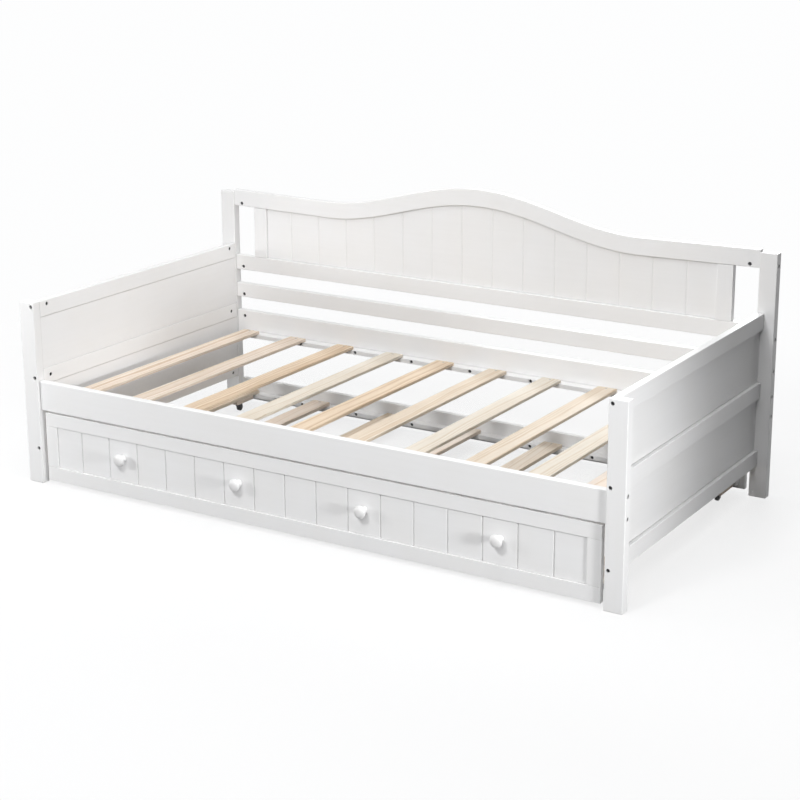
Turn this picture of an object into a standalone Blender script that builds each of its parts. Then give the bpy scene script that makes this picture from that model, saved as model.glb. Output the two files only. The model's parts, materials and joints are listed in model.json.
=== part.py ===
"""Slatted wooden daybed with a trundle bed that rolls out from under it.

+X runs along the bed, -Y is its open front and +Z is up. The origin is on the
floor, below the middle of the bounding box. All sizes are in metres.
"""

import math

import bmesh
import bpy
from mathutils import Vector

# ---------------------------------------------------------------- whole bed
LENGTH = 2.030                  # outside the legs, along X
BODY_DEPTH = 1.047              # front face of the legs to rear face of the posts
LEG_HEIGHT = 0.575
POST_HEIGHT = 0.758
LEG_WIDTH = 0.055               # along X
LEG_THICKNESS = 0.030           # along Y
FIT_GAP = 0.0003                # left between two pieces that touch
EDGE = 0.0020                   # eased edge of the painted boards
SLAT_EDGE = 0.0010              # eased edge of slats, ledgers and side panels
SHARP_ANGLE = 40                # degrees; flatter edges are neither eased nor sharp

# -------------------------------------------------------------------- knobs
KNOB_COUNT = 4
KNOB_LENGTH = 0.032
KNOB_PROUD = 0.016              # how far the knobs stand in front of the legs
KNOB_Z = 0.131
KNOB_HEAD_RADIUS = 0.019
KNOB_DOME_HEIGHT = 0.009

# ------------------------------------------- main planes, from the sizes above
HALF_LENGTH = LENGTH / 2
FRONT_Y = (KNOB_PROUD - BODY_DEPTH) / 2
REAR_Y = FRONT_Y + BODY_DEPTH
LEG_BACK_Y = FRONT_Y + LEG_THICKNESS
POST_FRONT_Y = REAR_Y - LEG_THICKNESS
INNER_X = HALF_LENGTH - LEG_WIDTH

# --------------------------------------------------------------- side ends
SIDE_RAIL_THICKNESS = 0.022
SIDE_RAIL_HEIGHT = 0.050
SIDE_RAIL_TOPS = {"lower": 0.148, "middle": 0.362, "top": LEG_HEIGHT}
PANEL_THICKNESS = 0.009
SIDE_PANEL_SETBACK = 0.0015     # behind the inner face of the side rails

# -------------------------------------------------------------------- back
BACK_RAIL_THICKNESS = 0.022
BACK_RAIL_SETBACK = 0.003       # behind the front face of the posts
BACK_RAIL_Z = (0.250, 0.339)
BACK_MID_RAIL_Z = (0.386, 0.436)
BACK_PANEL_RAIL_Z = (0.484, 0.536)
STILE_X = (0.828, 0.878)
ARCH_RAIL_HEIGHT = 0.055
ARCH_SHOULDER_Z = 0.759         # top of the arch rail where the arch begins
ARCH_END_Z = 0.765              # top of the arch rail at the posts
ARCH_RISE = 0.095
ARCH_HALF_WIDTH = 0.568
ARCH_STEP = 0.028               # longest straight stretch of the curved edge
BACK_PANEL_SETBACK = 0.008      # behind the front face of the stiles
BACK_BOARD_PITCH = 0.1119
BACK_BOARD_COUNT = 15
GROOVE_WIDTH = 0.005
GROOVE_DEPTH = 0.0025

# ------------------------------------------------------- front rail, ledgers
FRONT_RAIL_SETBACK = 0.008      # behind the front face of the legs
FRONT_RAIL_THICKNESS = 0.022
FRONT_RAIL_Z = (0.236, 0.328)
LEDGER_HALF_LENGTH = 0.918
LEDGER_HEIGHT = 0.015
LEDGER_DEPTH = 0.035

# ------------------------------------------------------------- main slats
SLAT_WIDTH = 0.065
SLAT_THICKNESS = 0.010
SLAT_TOP_Z = 0.278
SLAT_PITCH = 0.1961
SLAT_COUNT = 10
SLAT_FRONT_GAP = 0.010          # slat end to front rail
SLAT_REAR_Y = 0.481

# ----------------------------------------------------------------- trundle
TRUNDLE_HALF_LENGTH = 0.946
TRUNDLE_Z = (0.012, 0.229)
TRUNDLE_SETBACK = 0.012         # front frame behind the front face of the legs
TRUNDLE_FRAME_THICKNESS = 0.018
TRUNDLE_RAIL_TOP = 0.042        # height of the frame's upper member
TRUNDLE_RAIL_BOTTOM = 0.044     # height of the frame's lower member
TRUNDLE_STILE = 0.042           # width of the frame's end members
TRUNDLE_PANEL_SETBACK = 0.004   # behind the front face of the frame
TRUNDLE_BOARD_PITCH = 0.10766
TRUNDLE_BOARD_COUNT = 17
KNOB_PITCH = 4 * TRUNDLE_BOARD_PITCH
TRUNDLE_BACK_Y = (0.506, 0.524)
TRUNDLE_BACK_Z = (0.016, 0.091)
TRUNDLE_SLAT_TOP_Z = 0.061
TRUNDLE_SLAT_THICKNESS = 0.012
TRUNDLE_SLAT_PITCH = 0.2985
TRUNDLE_SLAT_COUNT = 7          # the two outer ones carry the casters
TRUNDLE_SLAT_END_GAP = 0.016    # slat end to the front frame and the back rail
TRUNDLE_LEDGER_HALF_LENGTH = 0.930
CASTER_BLOCK_LENGTH = 0.090
CASTER_BLOCK_THICKNESS = 0.012
CASTER_BLOCK_INSET = 0.054      # block end to the front frame and the back rail

# ----------------------------------------------------------------- casters
CASTER_TRAIL = 0.008            # axle behind the swivel axis
WHEEL_RADIUS = 0.0125
WHEEL_TREAD_WIDTH = 0.011
WHEEL_HUB_WIDTH = 0.0130
AXLE_RADIUS = 0.0025
AXLE_INSET = 0.0005             # axle end to the fork's outer face
AXLE_STEPS = 16
FORK_WIDTH = 0.018
FORK_EYE_RADIUS = 0.005         # rounded lower end of each cheek
FORK_CROWN_THICKNESS = 0.0045
FORK_HEAD_RADIUS = 0.009        # swivel bearing on top of the crown
FORK_HEAD_OVERLAP = 0.001       # bearing sunk into the crown
WHEEL_HEAD_ROOM = 0.002         # above the wheel, inside the fork
TURNED_STEPS = 28


# ---------------------------------------------------------------- materials
def make_material(name, colour, roughness, metallic=0.0):
    material = bpy.data.materials.new(name)
    material.use_nodes = True
    shader = material.node_tree.nodes["Principled BSDF"]
    shader.inputs["Base Color"].default_value = (*colour, 1.0)
    shader.inputs["Roughness"].default_value = roughness
    shader.inputs["Metallic"].default_value = metallic
    return material


def make_materials():
    return {
        "paint": make_material("white_paint", (0.86, 0.86, 0.86), 0.40),
        "knob": make_material("knob_paint", (0.88, 0.88, 0.87), 0.30),
        "pine": make_material("bare_pine", (0.72, 0.50, 0.29), 0.60),
        "fork": make_material("caster_fork_plastic", (0.02, 0.02, 0.02), 0.45),
        "tread": make_material("caster_wheel_plastic", (0.03, 0.03, 0.03), 0.60),
    }


# ------------------------------------------------------------------ helpers
def clear_scene():
    for item in list(bpy.data.objects):
        bpy.data.objects.remove(item, do_unlink=True)


def add_object(name, mesh, material, location=(0.0, 0.0, 0.0)):
    if not mesh.materials:
        mesh.materials.append(material)
    item = bpy.data.objects.new(name, mesh)
    item.location = location
    bpy.context.scene.collection.objects.link(item)
    return item


def add_bevel(item, width, segments=1):
    bevel = item.modifiers.new("eased_edges", "BEVEL")
    bevel.width = width
    bevel.segments = segments
    bevel.limit_method = "ANGLE"
    bevel.angle_limit = math.radians(SHARP_ANGLE)


def box_mesh(name, size):
    shape = bmesh.new()
    bmesh.ops.create_cube(shape, size=1.0)
    bmesh.ops.scale(shape, vec=size, verts=shape.verts)
    mesh = bpy.data.meshes.new(name)
    shape.to_mesh(mesh)
    shape.free()
    return mesh


def inset(span):
    """A span shortened by the fitting gap at both ends."""
    return (span[0] + FIT_GAP, span[1] - FIT_GAP)


def mirrored(span, side):
    """A span of X on the right side (side 1) or the left side (side -1)."""
    return tuple(sorted((side * span[0], side * span[1])))


def add_board(name, spans, material, edge=EDGE, segments=2):
    """A straight board between the given X, Y and Z spans."""
    size = [high - low for low, high in spans]
    centre = [(low + high) / 2 for low, high in spans]
    item = add_object(name, box_mesh(name, size), material, centre)
    add_bevel(item, edge, segments)
    return item


def stations_along(half_length, step, groove_places=(), depth=0.0):
    """Places along a board as (x, depth of the front face there).

    Each groove is three places: edge, bottom and edge. The straight
    stretches between them are divided so that none is longer than step.
    """
    marks = [(-half_length, 0.0)]
    for place in groove_places:
        marks.append((place - GROOVE_WIDTH / 2, 0.0))
        marks.append((place, depth))
        marks.append((place + GROOVE_WIDTH / 2, 0.0))
    marks.append((half_length, 0.0))
    places = [marks[0]]
    for here, after in zip(marks, marks[1:]):
        count = max(1, math.ceil((after[0] - here[0]) / step - 1e-6))
        for index in range(1, count + 1):
            share = index / count
            x = here[0] + (after[0] - here[0]) * share
            y = here[1] + (after[1] - here[1]) * share
            places.append((x, y))
    return places


def strip_mesh(name, places, thickness, bottom, top):
    """A closed board of four-cornered sections, front face towards -Y.

    bottom and top give the heights of its lower and upper edge at x.
    """
    shape = bmesh.new()
    sections = []
    for x, depth in places:
        corners = (
            (x, depth, bottom(x)),
            (x, depth, top(x)),
            (x, thickness, top(x)),
            (x, thickness, bottom(x)),
        )
        sections.append([shape.verts.new(corner) for corner in corners])
    shape.faces.new(reversed(sections[0]))
    shape.faces.new(sections[-1])
    for here, after in zip(sections, sections[1:]):
        for index in range(4):
            follow = (index + 1) % 4
            shape.faces.new((here[index], here[follow], after[follow], after[index]))
    bmesh.ops.recalc_face_normals(shape, faces=shape.faces)
    mesh = bpy.data.meshes.new(name)
    shape.to_mesh(mesh)
    shape.free()
    return mesh


def side_outline_shape(outline, width):
    """A closed body with the given (y, z) outline, width wide along X."""
    shape = bmesh.new()
    corners = [shape.verts.new((-width / 2, y, z)) for y, z in outline]
    side = shape.faces.new(corners)
    grown = bmesh.ops.extrude_face_region(shape, geom=[side])
    moved = [part for part in grown["geom"] if isinstance(part, bmesh.types.BMVert)]
    bmesh.ops.translate(shape, vec=(width, 0.0, 0.0), verts=moved)
    bmesh.ops.recalc_face_normals(shape, faces=shape.faces)
    return shape


def ease_outer_edges(shape, width):
    """Chamfer every edge that points outwards, and leave inner corners sharp."""
    sharp = math.radians(SHARP_ANGLE)
    edges = [edge for edge in shape.edges if edge.calc_face_angle_signed() > sharp]
    bmesh.ops.bevel(shape, geom=edges, offset=width, segments=1, affect="EDGES")


def centred_places(count, pitch):
    """Evenly spaced places on both sides of zero."""
    return [(index - (count - 1) / 2) * pitch for index in range(count)]


def turned_mesh(name, profile, axis, steps=TURNED_STEPS):
    """A smooth body turned from (radius, distance along the axis) points.

    A profile that starts and ends at radius zero is closed by its poles,
    and one that doesn't is a ring and closes on itself.
    """
    shape = bmesh.new()
    solid = profile[0][0] == 0.0
    rings = []
    for radius, along in profile:
        if radius == 0.0:
            rings.append([shape.verts.new((0.0, 0.0, along))])
            continue
        ring = []
        for index in range(steps):
            angle = math.tau * index / steps
            point = (radius * math.cos(angle), radius * math.sin(angle), along)
            ring.append(shape.verts.new(point))
        rings.append(ring)
    pairs = list(zip(rings, rings[1:]))
    if not solid:
        pairs.append((rings[-1], rings[0]))
    for lower, upper in pairs:
        for index in range(steps):
            follow = (index + 1) % steps
            corners = [lower[index % len(lower)], lower[follow % len(lower)]]
            corners += [upper[follow % len(upper)], upper[index % len(upper)]]
            shape.faces.new(list(dict.fromkeys(corners)))
    turn = Vector((0.0, 0.0, 1.0)).rotation_difference(Vector(axis)).to_matrix()
    bmesh.ops.transform(shape, matrix=turn.to_4x4(), verts=shape.verts)
    bmesh.ops.recalc_face_normals(shape, faces=shape.faces)
    mesh = bpy.data.meshes.new(name)
    shape.to_mesh(mesh)
    shape.free()
    mesh.shade_smooth()
    mesh.set_sharp_from_angle(angle=math.radians(SHARP_ANGLE))
    return mesh


# ------------------------------------------------------------- daybed frame
def build_legs(materials):
    for side, word in ((-1, "left"), (1, "right")):
        x_span = mirrored((INNER_X, HALF_LENGTH), side)
        leg = (x_span, (FRONT_Y, LEG_BACK_Y), (0.0, LEG_HEIGHT))
        post = (x_span, (POST_FRONT_Y, REAR_Y), (0.0, POST_HEIGHT))
        add_board(f"front_leg_{word}", leg, materials["paint"])
        add_board(f"back_post_{word}", post, materials["paint"])


def build_side_ends(materials):
    y_span = inset((LEG_BACK_Y, POST_FRONT_Y))
    rail_x = (INNER_X, INNER_X + SIDE_RAIL_THICKNESS)
    for side, word in ((-1, "left"), (1, "right")):
        for level, top in SIDE_RAIL_TOPS.items():
            spans = (mirrored(rail_x, side), y_span, (top - SIDE_RAIL_HEIGHT, top))
            add_board(f"side_{level}_rail_{word}", spans, materials["paint"])
        build_side_panel("upper", word, side, ("middle", "top"), materials)
        build_side_panel("lower", word, side, ("lower", "middle"), materials)


def build_side_panel(level, word, side, rails, materials):
    """A plain panel between two side rails, close to their inner faces."""
    inner_x = INNER_X + SIDE_PANEL_SETBACK
    x_span = mirrored((inner_x, inner_x + PANEL_THICKNESS), side)
    z_low = SIDE_RAIL_TOPS[rails[0]]
    z_high = SIDE_RAIL_TOPS[rails[1]] - SIDE_RAIL_HEIGHT
    spans = (x_span, inset((LEG_BACK_Y, POST_FRONT_Y)), inset((z_low, z_high)))
    name = f"side_{level}_panel_{word}"
    add_board(name, spans, materials["paint"], SLAT_EDGE, 1)


# -------------------------------------------------------------- daybed back
def arch_top(x):
    """Height of the arch rail's upper edge: an S-curve up to the middle."""
    reach = abs(x) / ARCH_HALF_WIDTH
    if reach < 1.0:
        return ARCH_SHOULDER_Z + ARCH_RISE * (0.5 + 0.5 * math.cos(math.pi * reach))
    share = (abs(x) - ARCH_HALF_WIDTH) / (INNER_X - ARCH_HALF_WIDTH)
    return ARCH_SHOULDER_Z + (ARCH_END_Z - ARCH_SHOULDER_Z) * share


def arch_bottom(x):
    return arch_top(x) - ARCH_RAIL_HEIGHT


def below_arch(x):
    return arch_bottom(x) - FIT_GAP


def build_back(materials):
    front = POST_FRONT_Y + BACK_RAIL_SETBACK
    rail_y = (front, front + BACK_RAIL_THICKNESS)
    rail_x = inset((-INNER_X, INNER_X))
    paint = materials["paint"]
    add_board("back_rail", (rail_x, rail_y, BACK_RAIL_Z), paint)
    add_board("back_mid_rail", (rail_x, rail_y, BACK_MID_RAIL_Z), paint)
    add_board("back_panel_rail", (rail_x, rail_y, BACK_PANEL_RAIL_Z), paint)

    places = stations_along(rail_x[1], ARCH_STEP)
    arch = strip_mesh("back_arch_rail", places, BACK_RAIL_THICKNESS, arch_bottom, arch_top)
    arch_rail = add_object("back_arch_rail", arch, paint, (0.0, front, 0.0))
    add_bevel(arch_rail, EDGE, 2)

    base = BACK_PANEL_RAIL_Z[1] + FIT_GAP
    for side, word in ((-1, "left"), (1, "right")):
        ends = mirrored(STILE_X, side)
        places = [(ends[0], 0.0), (ends[1], 0.0)]
        name = f"back_stile_{word}"
        mesh = strip_mesh(name, places, BACK_RAIL_THICKNESS, lambda x: base, below_arch)
        stile = add_object(name, mesh, paint, (0.0, front, 0.0))
        add_bevel(stile, SLAT_EDGE)

    half_length = STILE_X[0] - FIT_GAP
    grooves = centred_places(BACK_BOARD_COUNT - 1, BACK_BOARD_PITCH)
    places = stations_along(half_length, ARCH_STEP, grooves, GROOVE_DEPTH)
    mesh = strip_mesh("back_panel", places, PANEL_THICKNESS, lambda x: base, below_arch)
    add_object("back_panel", mesh, paint, (0.0, front + BACK_PANEL_SETBACK, 0.0))


# ------------------------------------------------------- daybed mattress base
def build_slat_base(materials):
    paint = materials["paint"]
    rail_front = FRONT_Y + FRONT_RAIL_SETBACK
    rail_rear = rail_front + FRONT_RAIL_THICKNESS
    rail_x = inset((-INNER_X, INNER_X))
    add_board("front_rail", (rail_x, (rail_front, rail_rear), FRONT_RAIL_Z), paint)

    ledger_x = (-LEDGER_HALF_LENGTH, LEDGER_HALF_LENGTH)
    ledger_top = SLAT_TOP_Z - SLAT_THICKNESS - FIT_GAP
    ledger_z = (ledger_top - LEDGER_HEIGHT, ledger_top)
    front_y = (rail_rear + FIT_GAP, rail_rear + LEDGER_DEPTH)
    back_face = POST_FRONT_Y + BACK_RAIL_SETBACK
    back_y = (back_face - LEDGER_DEPTH, back_face - FIT_GAP)
    add_board("front_ledger", (ledger_x, front_y, ledger_z), paint, SLAT_EDGE, 1)
    add_board("back_ledger", (ledger_x, back_y, ledger_z), paint, SLAT_EDGE, 1)

    slat_y = (rail_rear + SLAT_FRONT_GAP, SLAT_REAR_Y)
    slat_z = (SLAT_TOP_Z - SLAT_THICKNESS, SLAT_TOP_Z)
    for number, x in enumerate(centred_places(SLAT_COUNT, SLAT_PITCH), 1):
        slat_x = (x - SLAT_WIDTH / 2, x + SLAT_WIDTH / 2)
        name = f"slat_{number:02d}"
        add_board(name, (slat_x, slat_y, slat_z), materials["pine"], SLAT_EDGE, 1)


# ------------------------------------------------------------ trundle frame
def frame_ring_mesh(name, half_length, z_span, opening_x, opening_z, thickness):
    """A flat rectangular frame in one piece, front face towards -Y."""
    outer = ((-half_length, z_span[0]), (half_length, z_span[0]))
    outer += ((half_length, z_span[1]), (-half_length, z_span[1]))
    inner = ((-opening_x, opening_z[0]), (opening_x, opening_z[0]))
    inner += ((opening_x, opening_z[1]), (-opening_x, opening_z[1]))
    shape = bmesh.new()
    loops = []
    for y in (0.0, thickness):
        for outline in (outer, inner):
            loops.append([shape.verts.new((x, y, z)) for x, z in outline])
    front_outer, front_inner, back_outer, back_inner = loops
    pairs = (
        (front_outer, front_inner),
        (front_inner, back_inner),
        (back_inner, back_outer),
        (back_outer, front_outer),
    )
    for first, second in pairs:
        for index in range(4):
            follow = (index + 1) % 4
            shape.faces.new((first[index], first[follow], second[follow], second[index]))
    bmesh.ops.recalc_face_normals(shape, faces=shape.faces)
    ease_outer_edges(shape, SLAT_EDGE)
    mesh = bpy.data.meshes.new(name)
    shape.to_mesh(mesh)
    shape.free()
    return mesh


def build_trundle_front(materials):
    paint = materials["paint"]
    face_y = FRONT_Y + TRUNDLE_SETBACK
    opening_z = (TRUNDLE_Z[0] + TRUNDLE_RAIL_BOTTOM, TRUNDLE_Z[1] - TRUNDLE_RAIL_TOP)
    opening_x = TRUNDLE_HALF_LENGTH - TRUNDLE_STILE
    name = "trundle_front_frame"
    ring = frame_ring_mesh(name, TRUNDLE_HALF_LENGTH, TRUNDLE_Z, opening_x, opening_z,
                           TRUNDLE_FRAME_THICKNESS)
    add_object(name, ring, paint, (0.0, face_y, 0.0))

    low, high = inset(opening_z)
    half_length = opening_x - FIT_GAP
    grooves = centred_places(TRUNDLE_BOARD_COUNT - 1, TRUNDLE_BOARD_PITCH)
    places = stations_along(half_length, half_length * 2, grooves, GROOVE_DEPTH)
    name = "trundle_front_panel"
    mesh = strip_mesh(name, places, PANEL_THICKNESS, lambda x: low, lambda x: high)
    add_object(name, mesh, paint, (0.0, face_y + TRUNDLE_PANEL_SETBACK, 0.0))


def build_knobs(materials):
    """Four turned knobs: a flared foot, a neck and a domed head."""
    foot_y = FRONT_Y + TRUNDLE_SETBACK + TRUNDLE_PANEL_SETBACK - FIT_GAP
    length = KNOB_LENGTH - FIT_GAP
    head_edge = length - KNOB_DOME_HEIGHT
    profile = [(0.0, 0.0), (0.0120, 0.0), (0.0125, 0.0015), (0.0095, 0.0045)]
    profile += [(0.0080, 0.0090), (0.0085, 0.0130), (0.0120, 0.0165), (0.0172, 0.0190)]
    dome_steps = 6
    for index in range(dome_steps):
        angle = math.pi / 2 * index / dome_steps
        radius = KNOB_HEAD_RADIUS * math.cos(angle)
        profile.append((radius, head_edge + KNOB_DOME_HEIGHT * math.sin(angle)))
    profile.append((0.0, length))
    mesh = turned_mesh("knob", profile, (0.0, -1.0, 0.0))
    for number, x in enumerate(centred_places(KNOB_COUNT, KNOB_PITCH), 1):
        add_object(f"knob_{number}", mesh, materials["knob"], (x, foot_y, KNOB_Z))


def trundle_spans():
    """Y spans between the trundle's front frame and its back rail."""
    front = FRONT_Y + TRUNDLE_SETBACK + TRUNDLE_FRAME_THICKNESS
    back = TRUNDLE_BACK_Y[0]
    slat = (front + TRUNDLE_SLAT_END_GAP, back - TRUNDLE_SLAT_END_GAP)
    near = front + CASTER_BLOCK_INSET
    far = back - CASTER_BLOCK_INSET
    blocks = ((near, near + CASTER_BLOCK_LENGTH), (far - CASTER_BLOCK_LENGTH, far))
    return (front, back), slat, blocks


def caster_slat_mesh():
    """An outer slat with the two blocks that carry its casters glued below."""
    slat, blocks = trundle_spans()[1:]
    slat_low = TRUNDLE_SLAT_TOP_Z - TRUNDLE_SLAT_THICKNESS
    block_low = slat_low - CASTER_BLOCK_THICKNESS
    outline = [(slat[1], TRUNDLE_SLAT_TOP_Z), (slat[0], TRUNDLE_SLAT_TOP_Z)]
    outline.append((slat[0], slat_low))
    for low, high in blocks:
        outline += [(low, slat_low), (low, block_low), (high, block_low), (high, slat_low)]
    outline.append((slat[1], slat_low))
    shape = side_outline_shape(outline, SLAT_WIDTH)
    ease_outer_edges(shape, SLAT_EDGE)
    mesh = bpy.data.meshes.new("caster_slat")
    shape.to_mesh(mesh)
    shape.free()
    return mesh


def build_trundle_base(materials):
    paint = materials["paint"]
    pine = materials["pine"]
    rail_x = (-TRUNDLE_HALF_LENGTH, TRUNDLE_HALF_LENGTH)
    add_board("trundle_back_rail", (rail_x, TRUNDLE_BACK_Y, TRUNDLE_BACK_Z), paint)

    (front_face, back_face), slat_y, _ = trundle_spans()
    ledger_x = (-TRUNDLE_LEDGER_HALF_LENGTH, TRUNDLE_LEDGER_HALF_LENGTH)
    ledger_top = TRUNDLE_SLAT_TOP_Z - TRUNDLE_SLAT_THICKNESS - FIT_GAP
    ledger_z = (ledger_top - LEDGER_HEIGHT, ledger_top)
    front_y = (front_face + FIT_GAP, front_face + LEDGER_DEPTH)
    back_y = (back_face - LEDGER_DEPTH, back_face - FIT_GAP)
    front_ledger = (ledger_x, front_y, ledger_z)
    back_ledger = (ledger_x, back_y, ledger_z)
    add_board("trundle_front_ledger", front_ledger, paint, SLAT_EDGE, 1)
    add_board("trundle_back_ledger", back_ledger, paint, SLAT_EDGE, 1)

    slat_z = (TRUNDLE_SLAT_TOP_Z - TRUNDLE_SLAT_THICKNESS, TRUNDLE_SLAT_TOP_Z)
    places = centred_places(TRUNDLE_SLAT_COUNT, TRUNDLE_SLAT_PITCH)
    for number, x in enumerate(places[1:-1], 1):
        slat_x = (x - SLAT_WIDTH / 2, x + SLAT_WIDTH / 2)
        add_board(f"trundle_slat_{number}", (slat_x, slat_y, slat_z), pine, SLAT_EDGE, 1)
    caster_slat = caster_slat_mesh()
    for x, word in ((places[0], "left"), (places[-1], "right")):
        add_object(f"caster_slat_{word}", caster_slat, pine, (x, 0.0, 0.0))


# ------------------------------------------------------------------ casters
def fork_outline():
    """Side view of a fork as (y, z): crown on top, round eye at the axle."""
    crown_top = 2 * WHEEL_RADIUS + WHEEL_HEAD_ROOM + FORK_CROWN_THICKNESS
    crown_low = crown_top - FORK_CROWN_THICKNESS
    front = -FORK_HEAD_RADIUS
    rear = CASTER_TRAIL + FORK_EYE_RADIUS
    points = [(rear, crown_top), (front, crown_top), (front, crown_low)]
    eye_steps = 8
    for index in range(eye_steps + 1):
        angle = math.radians(205) + math.radians(155) * index / eye_steps
        y = CASTER_TRAIL + FORK_EYE_RADIUS * math.cos(angle)
        points.append((y, WHEEL_RADIUS + FORK_EYE_RADIUS * math.sin(angle)))
    return points, crown_top


def fork_mesh():
    """The fork's solid side-view shape, FORK_WIDTH wide along X."""
    points, crown_top = fork_outline()
    shape = side_outline_shape(points, FORK_WIDTH)
    mesh = bpy.data.meshes.new("caster_fork")
    shape.to_mesh(mesh)
    shape.free()
    return mesh, crown_top


def cylinder_mesh(name, radius, length, axis, steps=TURNED_STEPS):
    profile = [(0.0, -length / 2), (radius, -length / 2)]
    profile += [(radius, length / 2), (0.0, length / 2)]
    return turned_mesh(name, profile, axis, steps)


def add_tool(name, mesh, parent, location):
    """A hidden shape that a Boolean modifier uses."""
    tool = bpy.data.objects.new(name, mesh)
    tool.parent = parent
    tool.location = location
    tool.hide_render = True
    tool.display_type = "WIRE"
    bpy.context.scene.collection.objects.link(tool)
    return tool


def add_boolean(item, operation, tool):
    step = item.modifiers.new(tool.name, "BOOLEAN")
    step.operation = operation
    step.solver = "EXACT"
    step.object = tool


def wheel_mesh():
    hub = WHEEL_HUB_WIDTH / 2
    tread = WHEEL_TREAD_WIDTH / 2
    bore = AXLE_RADIUS + FIT_GAP
    half = [(bore, hub), (0.0055, hub), (0.0060, tread), (0.0108, tread)]
    half += [(0.0120, 0.0044), (WHEEL_RADIUS, 0.0030)]
    profile = half + [(radius, -along) for radius, along in reversed(half)]
    return turned_mesh("caster_wheel", profile, (1.0, 0.0, 0.0))


def build_casters(materials):
    """Four swivel casters: each fork turns about Z and each wheel about X."""
    body, crown_top = fork_mesh()
    wheel = wheel_mesh()
    slot_top = crown_top - FORK_CROWN_THICKNESS
    slot_width = WHEEL_HUB_WIDTH + 2 * FIT_GAP
    slot = box_mesh("slot", (slot_width, 4 * WHEEL_RADIUS, 2 * slot_top))
    block_low = TRUNDLE_SLAT_TOP_Z - TRUNDLE_SLAT_THICKNESS - CASTER_BLOCK_THICKNESS
    head_height = block_low - FIT_GAP - crown_top + FORK_HEAD_OVERLAP
    head = cylinder_mesh("head", FORK_HEAD_RADIUS - FIT_GAP, head_height, (0.0, 0.0, 1.0))
    axle_length = FORK_WIDTH - 2 * AXLE_INSET
    axle = cylinder_mesh("axle", AXLE_RADIUS, axle_length, (1.0, 0.0, 0.0), AXLE_STEPS)
    slat_x = centred_places(TRUNDLE_SLAT_COUNT, TRUNDLE_SLAT_PITCH)[-1]
    for side, x_word in ((-1, "left"), (1, "right")):
        for block, y_word in zip(trundle_spans()[2], ("front", "back")):
            place = f"{y_word}_{x_word}"
            location = (side * slat_x, sum(block) / 2, 0.0)
            fork = add_object(f"caster_fork_{place}", body, materials["fork"], location)
            cut = add_tool(f"slot_tool_{place}", slot, fork, (0.0, 0.0, 0.0))
            head_z = crown_top - FORK_HEAD_OVERLAP + head_height / 2
            top = add_tool(f"head_tool_{place}", head, fork, (0.0, 0.0, head_z))
            pin_place = (0.0, CASTER_TRAIL, WHEEL_RADIUS)
            pin = add_tool(f"axle_tool_{place}", axle, fork, pin_place)
            add_boolean(fork, "DIFFERENCE", cut)
            add_boolean(fork, "UNION", top)
            add_boolean(fork, "UNION", pin)
            roller = add_object(f"caster_wheel_{place}", wheel, materials["tread"], pin_place)
            roller.parent = fork


def main():
    clear_scene()
    materials = make_materials()
    build_legs(materials)
    build_side_ends(materials)
    build_back(materials)
    build_slat_base(materials)
    build_trundle_front(materials)
    build_knobs(materials)
    build_trundle_base(materials)
    build_casters(materials)


main()
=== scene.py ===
"""Looks for the daybed with trundle: painted boards, bare pine, hardware, light, camera.

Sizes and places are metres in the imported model's frame: +X runs along the bed, -Y is
its open front and +Z is up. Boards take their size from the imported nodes, and this
script adds what the boards carry: eased edges, grooves, drilled holes and fittings.
"""

import json
import math

import bmesh
import bpy
from mathutils import Matrix, Vector

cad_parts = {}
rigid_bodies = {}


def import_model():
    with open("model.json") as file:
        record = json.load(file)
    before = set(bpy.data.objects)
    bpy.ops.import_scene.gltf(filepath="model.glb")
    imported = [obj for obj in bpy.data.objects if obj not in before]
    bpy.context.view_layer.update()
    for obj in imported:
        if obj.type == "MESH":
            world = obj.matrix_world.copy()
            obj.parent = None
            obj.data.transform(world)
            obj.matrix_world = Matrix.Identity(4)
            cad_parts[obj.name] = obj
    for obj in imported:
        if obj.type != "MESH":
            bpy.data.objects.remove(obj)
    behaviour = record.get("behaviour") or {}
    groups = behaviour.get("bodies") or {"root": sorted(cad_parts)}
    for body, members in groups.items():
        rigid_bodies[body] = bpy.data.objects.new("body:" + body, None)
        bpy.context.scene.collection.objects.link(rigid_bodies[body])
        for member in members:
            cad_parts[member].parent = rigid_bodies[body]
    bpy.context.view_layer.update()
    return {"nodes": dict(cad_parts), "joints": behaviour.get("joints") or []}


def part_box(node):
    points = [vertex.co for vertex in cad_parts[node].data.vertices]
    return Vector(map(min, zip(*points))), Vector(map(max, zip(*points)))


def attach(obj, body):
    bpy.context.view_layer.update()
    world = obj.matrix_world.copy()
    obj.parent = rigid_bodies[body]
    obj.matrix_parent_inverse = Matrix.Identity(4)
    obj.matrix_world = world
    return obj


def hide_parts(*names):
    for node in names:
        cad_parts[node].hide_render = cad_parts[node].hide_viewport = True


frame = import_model()

SIDES = ((-1, "left"), (1, "right"))
ENDS = (("front", -1), ("back", 1))

# ------------------------------------------------------------------ boards
PAINT_EDGE = 0.0024             # rounded edge of the painted boards
THIN_EDGE = 0.0012              # rounded edge of slats, ledgers and panel frames
EDGE_SEGMENTS = 3
JOINT_GAP = 0.0003              # left between two boards that touch
SHARP_ANGLE = math.radians(40)  # flatter edges are shaded smooth

# ------------------------------------------------------------------ panels
GROOVE_WIDTH = 0.0050
GROOVE_SHOULDER = 0.0007        # small rounding on each side of a groove
GROOVE_FLOOR = 0.0010           # width of the flat bottom of a groove
BACK_GROOVES = (14, 0.1119, 0.0018)     # count, pitch, depth
TRUNDLE_GROOVES = (16, 0.10766, 0.0034)
PANEL_STEP = 0.014              # longest straight stretch below the arch

# -------------------------------------------------------------------- arch
ARCH_RAIL_HEIGHT = 0.055
ARCH_SHOULDER_Z = 0.759         # top of the rail where the arch begins
ARCH_END_Z = 0.765              # top of the rail at the posts
ARCH_HALF_WIDTH = 0.568
ARCH_STEP = 0.008               # longest straight stretch of the arch rail

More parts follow.
